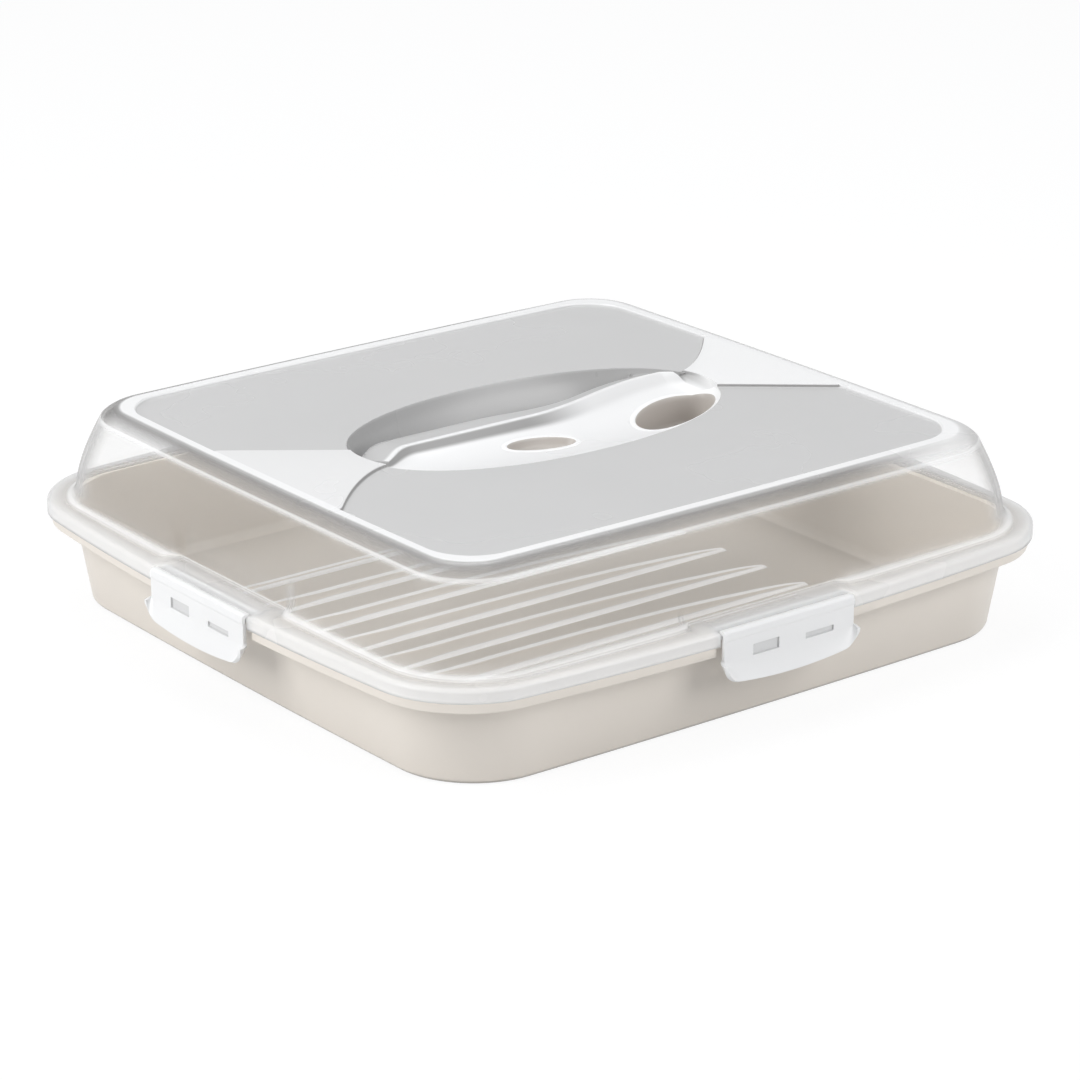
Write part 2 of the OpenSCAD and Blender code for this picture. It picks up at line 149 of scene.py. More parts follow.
def outline(hx, hy, r, bow, notch=0.0, marks=(46.5, 54.5, 57.5), bay=(54.5, 57.5)):
    """One level seen from above, anticlockwise from the middle of the +X side.

    A rectangle of half sizes hx and hy with corners of radius r. Each side bulges as a parabola, by bow in
    its middle, and is set in by notch within bay[0] of its middle, which fades out at bay[1].
    Every level has the same number of points, so that levels can be joined point by point.
    """
    lx, ly = hx - r, hy - r
    a, b, c = marks
    up = stations((0, a, b, c, 60, 60.35, 60.9, 61.6, 64, ly), (12, 3, 4, 1, 1, 1, 1, 1, 12))
    across = stations((lx, c, b, a, 0), (12, 4, 3, 12))
    turn = np.radians(np.linspace(0, 90, 16, endpoint=False))

    def dent(s):
        return notch * (1 - ramp((s - bay[0]) / (bay[1] - bay[0])))

    quarter = np.concatenate([
        np.column_stack([hx - dent(up), up]),
        np.column_stack([lx + r * np.cos(turn), ly + r * np.sin(turn)]),
        np.column_stack([across, hy - dent(across)])])
    middle = np.array([[0.0, hy - notch]])
    half = np.concatenate([quarter, middle, quarter[:0:-1] * (-1, 1)])
    points = np.concatenate([half, -half])
    x, y = points.T
    return np.column_stack([x * (1 + bow / hx * (1 - (y / hy) ** 2)),
                            y * (1 + bow / hy * (1 - (x / hx) ** 2))])


# Points in a quarter of a level and in a whole one, and the column where the band's border starts
QUARTER = 83
AROUND = 4 * QUARTER
BAND_COLUMN = 20
# Section of the step from the band down to a panel: shares of its fall and distances
STEP_SHARES = np.array([0.0, 0.3, 0.82, 1.0])
STEP_OFFSETS = np.array([0.0, 0.35, 0.9, 1.6])
# How far the tray's lip is set in behind a clip
LIP_NOTCH = 8.1
# Front edge and greatest width of each rib, and the section of the bead round it: distances and heights
RIBS = ((-113.0, 25.0), (-76.0, 24.5), (-39.5, 23.5), (-2.5, 22.0), (35.5, 20.0), (73.0, 18.5), (112.0, 10.0))
RIB_STEPS = np.array([0.0, 0.5, 1.3, 2.4, 3.5, 4.5, 5.4, 6.2, 7.0])
RIB_RISES = np.array([0.0, 0.75, 1.5, 1.9, 1.95, 1.65, 1.2, 0.85, 0.75])
# Where the ribs start in x, how far left of their widest place in half lengths, and their rounded corner
RIB_START = -127.0
RIB_LEFT = 0.31
RIB_CORNER = 5
# Columns of faces on each side of a rib that are its bead, which is given a near-white colour as a painted
# highlight
BEAD_FACES = 6
RIB_WALL = 0.0004
CUP_WALL = 0.0012


def at_height(points, z):
    """Points of a level with their height."""
    return np.column_stack([points, np.full(len(points), z)])


def spline(knots, v):
    """Catmull-Rom curve through knots, whose first axis is the run, at the shares v of that run."""
    count = len(knots) - 1
    padded = np.concatenate([2 * knots[:1] - knots[1:2], knots, 2 * knots[-1:] - knots[-2:-1]])
    at = np.clip(v * count, 0, count - 1e-9)
    k = at.astype(int)
    t = (at - k).reshape((-1,) + (1,) * (knots.ndim - 1))
    a, b, c, d = padded[k], padded[k + 1], padded[k + 2], padded[k + 3]
    return 0.5 * (2 * b + (c - a) * t + (2 * a - 5 * b + 4 * c - d) * t ** 2
                  + (3 * b - a - 3 * c + d) * t ** 3)


def grid_faces(rows, columns, closed):
    """Corner numbers of a grid's quads, row by row; closed joins the last column to the first."""
    across = columns if closed else columns - 1
    r, c = np.meshgrid(np.arange(rows - 1), np.arange(across), indexing="ij")
    following = (c + 1) % columns
    low, high = r * columns, (r + 1) * columns
    return np.stack([low + c, low + following, high + following, high + c], -1).reshape(-1, 4)


def centre_fan(first, columns, centre, upward):
    """Triangles that close a ring of points upon a centre point."""
    i = np.arange(columns)
    j = (i + 1) % columns
    ring = np.stack([first + i, first + j, np.full(columns, centre)], -1)
    return ring if upward else ring[:, ::-1]


def make_piece(name, body, material, points, faces, nodes=(), smooth=40):
    """A mesh piece from points in millimetres and lists of faces, riding on its body."""
    mesh = bpy.data.meshes.new(name)
    mesh.from_pydata((np.asarray(points) * 0.001).tolist(), [], [f for part in faces for f in part.tolist()])
    mesh.polygons.foreach_set("use_smooth", np.ones(len(mesh.polygons), bool))
    mesh.set_sharp_from_angle(angle=math.radians(smooth))
    mesh.materials.append(material)
    obj = bpy.data.objects.new(name, mesh)
    bpy.context.scene.collection.objects.link(obj)
    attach(obj, body)
    if nodes:
        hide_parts(*nodes)
    return obj


def add_wall(obj, thickness):
    """Gives a skin its wall thickness in metres, inwards."""
    wall = obj.modifiers.new("wall", "SOLIDIFY")
    wall.thickness = thickness
    wall.offset = -1
    wall.use_even_offset = False
    wall.use_quality_normals = True


def soften(obj, width, segments=2, angle=35):
    """Rounds a piece's sharp edges."""
    bevel = obj.modifiers.new("edges", "BEVEL")
    bevel.width = width
    bevel.segments = segments
    bevel.limit_method = "ANGLE"
    bevel.angle_limit = math.radians(angle)


def add_node(tree, kind, values=None, **settings):
    """A shader node with its settings and the values of its inputs."""
    node = tree.nodes.new("ShaderNode" + kind)
    for name, value in settings.items():
        setattr(node, name, value)
    for key, value in (values or {}).items():
        node.inputs[key].default_value = value
    return node


def paint_contact_shadow(material, from_height, to_height, darkest):
    """Paints a contact shadow into a piece's colour: darker towards the floor that it stands on, between two
    heights in metres.
    """
    tree = material.node_tree
    link = tree.links.new
    colour = tree.nodes["Principled BSDF"].inputs["Base Color"]
    place = add_node(tree, "TexCoord")
    height = add_node(tree, "SeparateXYZ")
    rise = add_node(tree, "MapRange", {"From Min": from_height, "From Max": to_height, "To Min": darkest})
    shaded = add_node(tree, "Mix", {0: 1}, data_type="RGBA", blend_type="MULTIPLY")
    link(place.outputs["Object"], height.inputs[0])
    link(height.outputs["Z"], rise.inputs["Value"])
    link(colour.links[0].from_socket, shaded.inputs[6])
    link(rise.outputs["Result"], shaded.inputs[7])
    link(shaded.outputs[2], colour)


# How far the faint clouds in a plastic take its colour down and up
CLOUD_DARK, CLOUD_LIGHT = 0.965, 1.03
# Darkest colour of the hood's painted shade
DARKEST_PAINTED_SHADE = (0.16, 0.155, 0.15)
# Where the hood is seen edge on, it looks thicker: from this share of Facing it gains so much cover, and it
# is painted darker by so much as shade
EDGE_FROM, EDGE_COVER, EDGE_PAINTED_SHADE = 0.40, 0.80, -0.60
LAMPLIGHT_THROUGH = 0.97


def finish_material(name, colour, roughness, grain, bump, alpha=1.0, veiled_and_shaded=False, airy=False):
    """Moulded plastic: a colour with faint clouds, uneven gloss and a fine moulded grain.

    alpha is how much of what lies behind the plastic hides: 1 for an opaque one. With veiled_and_shaded, the
    piece's own attributes set the alpha (cover) and the colour, which is painted light and shade (tone,
    from dark to the given colour); where the piece is seen edge on it gains cover and is painted darker still
    as shade. airy lets the lamps shine through, as frosted plastic does.
    """
    material = bpy.data.materials.new(name)
    material.use_nodes = True
    tree = material.node_tree
    link = tree.links.new
    shader = tree.nodes["Principled BSDF"]
    shader.inputs["Roughness"].default_value = roughness
    place = add_node(tree, "TexCoord")
    clouds = add_node(tree, "TexNoise", {"Scale": 9, "Detail": 3})
    fine = add_node(tree, "TexNoise", {"Scale": grain, "Detail": 4})
    link(place.outputs["Object"], clouds.inputs["Vector"])
    link(place.outputs["Object"], fine.inputs["Vector"])
    base, most = ((1, 1, 1), CLOUD_LIGHT) if veiled_and_shaded else (colour, 1)
    blend = add_node(tree, "Mix", {6: (*[c * CLOUD_DARK for c in base], 1),
                                   7: (*[min(most, c * CLOUD_LIGHT) for c in base], 1)}, data_type="RGBA")
    link(clouds.outputs["Fac"], blend.inputs[0])
    if veiled_and_shaded:
        # The tone attribute paints light and shade into the hood's colour
        tone = add_node(tree, "Attribute", attribute_name="tone")
        cover = add_node(tree, "Attribute", attribute_name="cover")
        shades = add_node(tree, "Mix", {6: (*DARKEST_PAINTED_SHADE, 1), 7: (*colour, 1)}, data_type="RGBA")
        tinted = add_node(tree, "Mix", {0: 1}, data_type="RGBA", blend_type="MULTIPLY")
        facing = add_node(tree, "LayerWeight", {"Blend": 0.5})
        edge = add_node(tree, "MapRange", {"From Min": EDGE_FROM, "From Max": 1.0},
                        interpolation_type="SMOOTHSTEP")
        clearness = add_node(tree, "Math", {0: 1.0}, operation="SUBTRACT")
        thick = add_node(tree, "Math", operation="MULTIPLY")
        covered = add_node(tree, "Math", {1: EDGE_COVER}, operation="MULTIPLY_ADD")
        darker = add_node(tree, "Math", {1: EDGE_PAINTED_SHADE}, operation="MULTIPLY_ADD")
        link(facing.outputs["Facing"], edge.inputs["Value"])
        link(cover.outputs["Fac"], clearness.inputs[1])
        link(edge.outputs["Result"], thick.inputs[0])
        link(clearness.outputs[0], thick.inputs[1])
        link(thick.outputs[0], covered.inputs[0])
        link(cover.outputs["Fac"], covered.inputs[2])
        link(thick.outputs[0], darker.inputs[0])
        link(tone.outputs["Fac"], darker.inputs[2])
        link(darker.outputs[0], shades.inputs[0])
        link(shades.outputs[2], tinted.inputs[6])
        link(blend.outputs[2], tinted.inputs[7])
        link(tinted.outputs[2], shader.inputs["Base Color"])
        link(covered.outputs[0], shader.inputs["Alpha"])
    else:
        link(blend.outputs[2], shader.inputs["Base Color"])
        shader.inputs["Alpha"].default_value = alpha
    gloss = add_node(tree, "MapRange", {"To Min": roughness - 0.05, "To Max": roughness + 0.06})
    link(clouds.outputs["Fac"], gloss.inputs["Value"])
    link(gloss.outputs["Result"], shader.inputs["Roughness"])
    relief = add_node(tree, "Bump", {"Strength": bump, "Distance": 0.0002})
    link(fine.outputs["Fac"], relief.inputs["Height"])
    link(relief.outputs["Normal"], shader.inputs["Normal"])
    if airy:
        rays = add_node(tree, "LightPath")
        clear = add_node(tree, "BsdfTransparent", {"Color": (*[LAMPLIGHT_THROUGH] * 3, 1)})
        pick = add_node(tree, "MixShader")
        link(rays.outputs["Is Shadow Ray"], pick.inputs[0])
        link(shader.outputs[0], pick.inputs[1])
        link(clear.outputs[0], pick.inputs[2])
        link(pick.outputs[0], tree.nodes["Material Output"].inputs["Surface"])
    return material


def tray_rows(s):
    """The tray's skin as levels: under the foot, up the leaning wall, out to the lip, and back inside."""
    marks = dict(marks=(46.3, 46.9, 47.7), bay=(46.9, 47.7))

    def tray(d, z):
        return at_height(outline(s.tray_x + d, s.tray_y + d, s.tray_corner + d, s.tray_bow, 0, **marks), z)

    def lip(d, z):
        level = outline(s.rim_x + d, s.rim_y + d, s.rim_corner + d, s.rim_bow, LIP_NOTCH, **marks)
        return at_height(level, z)

    def lean(z):
        return s.tray_lean * (z - s.tray_foot) / (s.rim_height - s.tray_foot)

    rim, low = s.rim_height, s.rim_height - s.lip_drop
    out = -s.hood_wall - s.skirt_gap
    inside = s.tray_foot + 2
    foot = [tray(-s.tray_foot * (1 - math.sin(t)), s.tray_foot * (1 - math.cos(t)))
            for t in np.radians(np.linspace(0, 90, 9))]
    wall = [tray(lean(z), z) for z in np.linspace(s.tray_foot, rim - s.lip_wall - 1, 9)[1:]]
    rest = [tray(lean(rim) + 0.3, rim - s.lip_wall - 0.3), tray(lean(rim) + 1, rim - s.lip_wall),
            lip(out - s.lip_wall - 1, rim - s.lip_wall), lip(out - s.lip_wall, rim - s.lip_wall - 1),
            lip(out - s.lip_wall, low + 0.5), lip(out - s.lip_wall + 0.5, low), lip(out - 0.5, low),
            lip(out, low + 0.6), lip(out, low + 5), lip(out, rim - 1.1), lip(out - 0.3, rim - 0.4),
            lip(out - 1, rim)]
    mouth = lean(rim) - s.tray_wall
    rest += [tray(mouth + 0.6, rim), tray(mouth + 0.1, rim - 0.25), tray(mouth, rim - 0.8)]
    rest += [tray(lean(z) - s.tray_wall, z) for z in np.linspace(rim - 2, s.tray_wall + inside, 9)]
    inner = [tray(-s.tray_wall - inside * (1 - math.sin(t)) + lean(s.tray_wall + inside),
                  s.tray_wall + inside * (1 - math.cos(t))) for t in np.radians(np.linspace(90, 0, 10))[1:]]
    return np.array(foot + wall + rest + inner)


def rib_points(s, rib, steps=64):
    """One rib: a flat pad with a raised bead round its edge, blunt at the left and pointed at the right.

    Its front edge is straight, and its back edge is a part of an ellipse: the pad's width at t, from
    -RIB_LEFT to 1 in half lengths of the ellipse, is the greatest width times the root of 1 - t squared.
    At the left it closes in a rounded corner, and its bead thins out towards both ends.
    """
    front, width = rib
    angle = np.linspace(np.arcsin(-RIB_LEFT), np.pi / 2, steps + 1)
    length_half = (s.rib_x - RIB_START) / (1 + RIB_LEFT)
    x_line = s.rib_x + length_half * (np.sin(angle) - 1)
    closed = x_line[0] - RIB_CORNER + RIB_CORNER * np.sin(np.linspace(0, 1.5, 8))
    x_line = np.concatenate([closed, x_line[1:]])[:, None]
    t = 1 + (x_line - s.rib_x) / length_half
    closing = np.sqrt(1 - (1 - np.clip((x_line - x_line[0]) / RIB_CORNER, 0, 1)) ** 2)
    span = width * np.sqrt(np.clip(1 - t * t, 0, 1)) * closing
    thin = 0.4 + 0.6 * ramp((x_line - RIB_START) / 40) * ramp((s.rib_x - x_line) / 50)
    near = RIB_STEPS * np.minimum(thin, span / (2 * RIB_STEPS[-1]))
    y = np.concatenate([front + near, front + span - near[:, ::-1]], 1)
    rise = RIB_RISES * np.minimum(1, span / 3)
    z = s.tray_wall - 0.12 + np.concatenate([rise, rise[:, ::-1]], 1)
    x = np.repeat(x_line, y.shape[1], 1)
    return np.stack([x, y, z], -1)


class CARRIER_OT_tray(bpy.types.Operator):
    """The tray with its leaning walls, its lip and the ribs on its floor"""
    bl_idname = "carrier.tray"
    bl_label = "Tray"

    def execute(self, context):
        s = millimetres()
        colour = context.scene.carrier_finish.tray_tint
        material = finish_material("warm_grey_plastic", colour, 0.38, 900, 0.12)
        # painted contact shadow: the tray's colour darkens towards the floor at its foot
        paint_contact_shadow(material, 0.0002, 0.0026, 0.22)
        rows = tray_rows(s)
        count = rows.shape[1]
        points = np.concatenate([rows.reshape(-1, 3), [[0, 0, 0]], [[0, 0, s.tray_wall]]])
        last = (len(rows) - 1) * count
        faces = [grid_faces(len(rows), count, True),
                 centre_fan(0, count, len(points) - 2, False),
                 centre_fan(last, count, len(points) - 1, True)]
        make_piece("tray_shell", "tray", material, points, faces, nodes=("tray",))
        # painted highlight: the ribs' beads get a near-white plastic instead of the tray's colour
        gleam = context.scene.carrier_finish.rib_highlight_tint
        bead = finish_material("rib_highlight_plastic", gleam, 0.22, 900, 0.05)
        pads = np.array([rib_points(s, rib) for rib in RIBS])
        rows, columns = pads.shape[1:3]
        quads = [grid_faces(rows, columns, False)[:, ::-1] + i * rows * columns for i in range(len(RIBS))]
        ribs = make_piece("tray_ribs", "tray", material, pads.reshape(-1, 3), quads,
                          smooth=60)
        ribs.data.materials.append(bead)
        across = np.arange(columns - 1)
        on_bead = (np.minimum(across, columns - 2 - across) < BEAD_FACES).astype(np.int32)
        ribs.data.polygons.foreach_set("material_index", np.tile(on_bead, (rows - 1) * len(RIBS)))
        add_wall(ribs, RIB_WALL)
        return {"FINISHED"}


# Middle of the grip's well and the power of its superellipse, and how far its edge lies below the top
WELL_AT = (3.0, 2.0)
WELL_POWER = 2.15
SEAT = 0.3
# The thumb opening and the slot: middle, half sizes, turn in degrees and depth
THUMB = dict(at=(86, -21), half=(35, 18.5), turn=24, drop=24)
SLOT = dict(at=(-15, -25), half=(21, 9), turn=-9, drop=10)
# How much wider than these ovals the hood is cut, and how far in from the rim it is cut for a clip
HOLE_MARGIN = 1.9
CLIP_BAY = 7.5
# Height below which no face of the hood belongs to its well
LOWEST_WELL = 90
# Half width of the alcove behind a clip, and where it has faded out
ALCOVE = (50, 60)


def well_half(s, x):
    """Half width of the well at x: a superellipse."""
    share = np.clip(1 - np.abs((x - WELL_AT[0]) / s.well_x) ** WELL_POWER, 0, 1)
    return s.well_y * share ** (1 / WELL_POWER)


def crest_line(x):
    """Line of the grip's front edge: it swings back to the right and curls forward at the left."""
    return 4 + 19 * ramp(x / 100) - 19 * ramp((-85 - x) / 35)


def grip_width(x):
    """Width of the grip's top behind its crest."""
    return 28 - 11 * ramp((x + 20) / 70)


def well_knots(s, x, back):
    """Eight knots (y, z) across the well at x, from its edge to the crest, for the back or the front."""
    panel_z = s.top_height - s.panel_drop
    h = well_half(s, x)
    f, b = WELL_AT[1] - h, WELL_AT[1] + h
    share = np.clip((crest_line(x) - f) / np.maximum(2 * h, 1e-6), 0.1, 0.8)
    c = f + 2 * h * share
    r = c + np.minimum(grip_width(x), (b - c) * 0.85)
    dish = (4 + (s.dish_drop - 4) * ramp((x + 60) / 120)) * np.minimum(1, h / 30)
    deep = s.pocket_drop * (1 - np.exp(-(b - r) / 14))
    fall = s.back_fall * np.minimum(1, (r - c) / 16)
    rear = panel_z - fall
    if back:
        ys = [b, r + (b - r) * 0.9, r + (b - r) * 0.68, r + (b - r) * 0.3, r + (b - r) * 0.12, r,
              c + (r - c) * 0.35, c]
        zs = [panel_z - SEAT + 0 * x, panel_z - deep * 0.45, panel_z - deep * 0.9, panel_z - deep,
              rear - np.maximum(0, deep - fall) * 0.7, rear, panel_z - fall * 0.2,
              s.top_height - SEAT + 0 * x]
    else:
        ys = [f, f + (c - f) * 0.08, f + (c - f) * 0.22, f + (c - f) * 0.42, f + (c - f) * 0.66,
              c - (c - f) * 0.18, c - (c - f) * 0.07, c]
        zs = [panel_z - SEAT + 0 * x, panel_z - dish * 0.5, panel_z - dish * 0.88, panel_z - dish,
              panel_z - dish * 0.9, panel_z - dish * 0.62, panel_z - dish * 0.08, s.top_height - SEAT + 0 * x]
    return np.stack([np.stack(np.broadcast_arrays(*ys)), np.stack(np.broadcast_arrays(*zs))], -1)


def well_height(s, x, y):
    """Height of the dish's surface at points in front of the crest."""
    v = np.linspace(0, 1, 240)
    run = spline(well_knots(s, x, False), v)
    nearest = np.argmin(np.abs(run[..., 0] - y), axis=0)
    return run[nearest, np.arange(len(x)), 1]


def well_edge(s):
    """The well's edge, one point for each column of the hood: a superellipse whose columns 20 to 23 lie
    on the band's border at the neck, so that the border stays sharp."""
    def quarter(sign):
        rise = (s.band_neck + STEP_OFFSETS - sign * WELL_AT[1]) / s.well_y
        steps = np.arcsin(rise ** (WELL_POWER / 2))
        angle = np.concatenate([np.linspace(0, steps[0], BAND_COLUMN, endpoint=False), steps[:3],
                                np.linspace(steps[3], np.pi / 2, QUARTER - BAND_COLUMN - 3 + 1)])
        return (s.well_x * np.cos(angle).clip(0) ** (2 / WELL_POWER),
                s.well_y * np.sin(angle) ** (2 / WELL_POWER))

    (bx, by), (fx, fy) = quarter(1), quarter(-1)
    x = np.concatenate([bx[:-1], -bx[:0:-1], -fx[:-1], fx[:0:-1]])
    y = np.concatenate([by[:-1], by[:0:-1], -fy[:-1], -fy[:0:-1]])
    return np.column_stack([x + WELL_AT[0], y + WELL_AT[1]])


def band_border(s, x, power):
    """Half width of the band at x: from the neck to its end along a power curve."""
    start = s.well_x - 6
    t = np.clip((np.abs(x) - start) / (s.top_x - s.border_x - start), 0, 1)
    return s.band_neck + (s.band_end - s.band_neck) * t ** power


def panel_share():
    """How far each column lies down on a panel: 0 on the band, 1 on a panel, and the step between them."""
    first = np.concatenate([np.zeros(BAND_COLUMN), STEP_SHARES, np.ones(QUARTER - BAND_COLUMN - 4)])
    half = np.concatenate([first, [1.0], first[:0:-1]])
    return np.concatenate([half, half])


def fill_between(inner, outer, t, sides):
    """Rows between two rings. Each row lies at share t from inner to outer; sides gives the columns whose
    run is set by a curve, and the bend of those curves is shared out over the columns between them."""
    rows = inner + (outer - inner) * t[:, None, None]
    marks = sorted(sides)
    for k, a in enumerate(marks):
        b = marks[(k + 1) % len(marks)]
        span = (b - a) % AROUND
        columns = (a + np.arange(span)) % AROUND
        share = (np.arange(span) / span)[None, :, None]
        bend_a = sides[a] - (inner[a] + (outer[a] - inner[a]) * t[:, None])
        bend_b = sides[b] - (inner[b] + (outer[b] - inner[b]) * t[:, None])
        rows[:, columns] += (1 - share) * bend_a[:, None] + share * bend_b[:, None]
    return rows


# Painted light and shade (0 dark, 1 light) and cover of the hood by level, from the skirt up to the border of
# its top; bright lines are painted highlights, the dark shoulder band painted shade
PAINTED_SHADING_LEVELS = ((0, 0.84), (10, 0.86), (11, 0.70), (12.2, 0.70), (13, 1.0), (14, 1.0), (16, 0.80),
               (20, 0.80), (34, 0.85), (35, 0.97), (36, 0.97), (37, 0.42), (39, 0.22), (42, 0.16),
               (43.2, 0.25), (44, 0.93), (49, 0.93))
COVER_LEVELS = ((0, 0.62), (10, 0.52), (11, 0.20), (12.2, 0.20), (13, 0.50), (14, 0.45), (15.5, 0.12),
                (19, 0.06), (33, 0.06), (34, 0.10), (35, 0.42), (36, 0.40), (37, 0.25), (40, 0.42),
                (43, 0.78), (44, 0.96), (50, 0.96))
# Cover of the panels, the band and the well, and the levels where the panels and the well start
TOP_COVER = 0.96
PANEL_LEVEL = 50
WELL_LEVEL = 68


def hood_finish(s, rows):
    """Painted light and shade (0 dark, 1 light) and cover (0 clear, 1 solid) of each point of the hood.

    Below the top's border both follow the level, and the shoulder's painted shade fades out towards the
    right.
    On the top the panels are painted darker than the band, which is painted lighter to the right, and the
    step between them is painted dark as shade. In the well the pocket is painted dark as shade, the crest and
    the dish are painted light, and the fall below the crest is painted dark at the left as shade.
    """
    level = np.arange(len(rows))
    tone = np.interp(level, *zip(*PAINTED_SHADING_LEVELS))[:, None] + np.zeros((1, AROUND))
    cover = np.interp(level, *zip(*COVER_LEVELS))[:, None] + np.zeros((1, AROUND))
    share = panel_share()
    x = rows[..., 0]
    shoulder = (level > 36) & (level < 44)
    tone[shoulder] += (0.75 - tone[shoulder]) * ramp((x[shoulder] - 70) / 90)
    band = 0.80 + 0.14 * ramp(x / 120)
    flat = band + (0.52 - band) * share
    step = (share > 0.2) & (share < 0.9)
    # the step from the band down to a panel is painted dark as shade
    flat = np.where(step, 0.15, flat)
    tone[PANEL_LEVEL - 1:WELL_LEVEL] = flat[PANEL_LEVEL - 1:WELL_LEVEL]
    cover[PANEL_LEVEL:] = TOP_COVER
    # in the well: painted shade in the pocket and below the crest, painted light on the crest and the dish
    v = np.linspace(0, 1, len(rows) - WELL_LEVEL + 1)[1:, None]
    deep = rows[WELL_LEVEL:, :, 0]
    left = 1 - ramp((deep + 10) / 60)
    back = 0.40 + 0.10 * ramp((v - 0.5) / 0.3) + 0.55 * ramp((v - 0.90) / 0.06)
    front = 0.97 - 0.10 * ramp(v / 0.3) + 0.08 * ramp((v - 0.3) / 0.3)
    front = front - (0.62 * left + 0.12) * ramp((v - 0.72) / 0.08) * (1 - ramp((v - 0.93) / 0.06))
    on_back = np.zeros(AROUND, bool)
    on_back[1:2 * QUARTER] = True
    tone[WELL_LEVEL:] = np.where(on_back, back, front)
    return tone, cover


def hood_rows(s):
    """The hood's outer skin as levels, from the skirt's lower edge up to the crest of the grip."""
    brim = s.rim_height + s.hood_wall
    top, drop = s.top_height, s.panel_drop
    low = brim - s.hood_wall - s.skirt_drop + 2

    def skirt(d, z):
        return at_height(outline(s.rim_x + d, s.rim_y + d, s.rim_corner + d, s.rim_bow), z)

    def wall(t):
        d = s.shoulder_width + (s.hood_spread - s.shoulder_width) * math.sin(math.pi / 2 * t)
        bow = s.top_bow + (s.hood_bow - s.top_bow) * d / s.hood_spread
        notch = s.alcove_depth * (max(0, t - 0.35) / 0.65) ** 1.5
        z = top - s.shoulder_drop - t * (top - s.shoulder_drop - brim)
        return at_height(outline(s.top_x + d, s.top_y + d, s.top_corner + d, bow, notch, bay=ALCOVE), z)

    def shoulder(d, z):
        bow = s.top_bow + (s.hood_bow - s.top_bow) * max(d, 0) / s.hood_spread
        return at_height(outline(s.top_x + d, s.top_y + d, s.top_corner + d, bow), z)

    rows = [skirt(0, low), skirt(0, low + 2), skirt(0, brim - 3.4)]
    rows += [skirt(-2.6 * (1 - math.cos(t)), brim - 2.6 * (1 - math.sin(t)))
             for t in np.radians(np.linspace(0, 90, 8))]
    foot, corner = skirt(-2.6, brim), wall(1)
    plain = outline(s.top_x, s.top_y, s.top_corner, 0)
    dented = outline(s.top_x, s.top_y, s.top_corner, 0, 1, bay=ALCOVE)
    behind_clip = np.clip(np.linalg.norm(plain - dented, axis=1), 0, 1)[:, None]
    start = corner + (foot - corner) * (0.55 - 0.45 * behind_clip)
    cheek = wall(0.80) * (1 - behind_clip) + wall(0.97) * behind_clip
    for t in np.linspace(0, 1, 9):
        rows.append((1 - t) ** 2 * start + 2 * t * (1 - t) * corner + t * t * cheek)
    rows += [wall(t) for t in np.linspace(0.80, 0.0, 17)[1:]]
    w, fall = s.shoulder_width, s.shoulder_drop
    rows.append(shoulder(w - 0.6, top - fall + 0.35))
    for t in np.linspace(0.12, 1, 8):
        angle = math.pi / 2 * t
        rows.append(shoulder(w * (1 - t ** 1.15), top - fall * (1 - math.sin(angle))))
    edge = outline(s.top_x - s.border_x, s.top_y - s.border_y, s.top_corner + 4, s.top_bow)
    share = panel_share()
    ring0 = outline(s.top_x, s.top_y, s.top_corner, s.top_bow)
    rows += [at_height(ring0 + (edge - ring0) * t, top) for t in (0.15, 0.85)]
    for offset, part in zip(STEP_OFFSETS, STEP_SHARES):
        points = outline(s.top_x - s.border_x - offset, s.top_y - s.border_y - offset,
                         s.top_corner + 4 - offset, s.top_bow)
        rows.append(np.column_stack([points, top - drop * part * share]))
    outer = rows[-1][:, :2]
    inner = well_edge(s)
    t = np.concatenate([[0.965], np.linspace(0.9, 0.08, 14), [0.02, 0.0]])
    sides = {}
    for column, sign, power in ((BAND_COLUMN, 1, 1.5), (2 * QUARTER - BAND_COLUMN, 1, 1.0),
                                (2 * QUARTER + BAND_COLUMN, -1, 1.5), (AROUND - BAND_COLUMN, -1, 1.0)):
        x = inner[column, 0] + (outer[column, 0] - inner[column, 0]) * t
        y = sign * band_border(s, x, power)
        # the curve ends on the well's edge and on the border
        missed = outer[column, 1] - sign * band_border(s, outer[column, 0], power)
        y = y + (inner[column, 1] - y[-1]) * (1 - t) + missed * t
        sides[column] = np.column_stack([x, y])
    for row in fill_between(inner, outer, t, sides):
        rows.append(np.column_stack([row, top - drop * share]))
    return np.array(rows + list(well_rows(s, inner, share)))


def well_rows(s, edge, share, count=40):
    """The well's skin as levels that close in from its edge upon the crest of the grip."""
    v = np.linspace(0, 1, count + 1)[1:]
    mirrored = edge[(-np.arange(AROUND)) % AROUND, 0]
    crest_x = WELL_AT[0] + ((edge[:, 0] + mirrored) / 2 - WELL_AT[0]) * 0.93
    x = edge[:, 0] + (crest_x - edge[:, 0]) * v[:, None]
    back = np.zeros(AROUND, bool)
    back[1:2 * QUARTER] = True
    out = np.empty((count, AROUND, 3))
    out[..., 0] = x
    for side in (True, False):
        columns = np.nonzero(back == side)[0]
        knots = well_knots(s, x[:, columns], side)
        for k in range(count):
            out[k, columns, 1:] = spline(knots[:, k], v[k:k + 1])[0]
    lift = s.panel_drop * (1 - share) * (1 - ramp(v[:, None] / 0.12))
    out[..., 2] += lift
    return out


def inside_oval(points, oval, grow):
    """Which points lie inside an oval that is grown by so much."""
    a = math.radians(oval["turn"])
    d = points[:, :2] - oval["at"]
    u = d[:, 0] * math.cos(a) + d[:, 1] * math.sin(a)
    w = -d[:, 0] * math.sin(a) + d[:, 1] * math.cos(a)
    return (u / (oval["half"][0] + grow)) ** 2 + (w / (oval["half"][1] + grow)) ** 2 < 1


# Rows of faces of a cup that are its collar
COLLAR_ROWS = 4


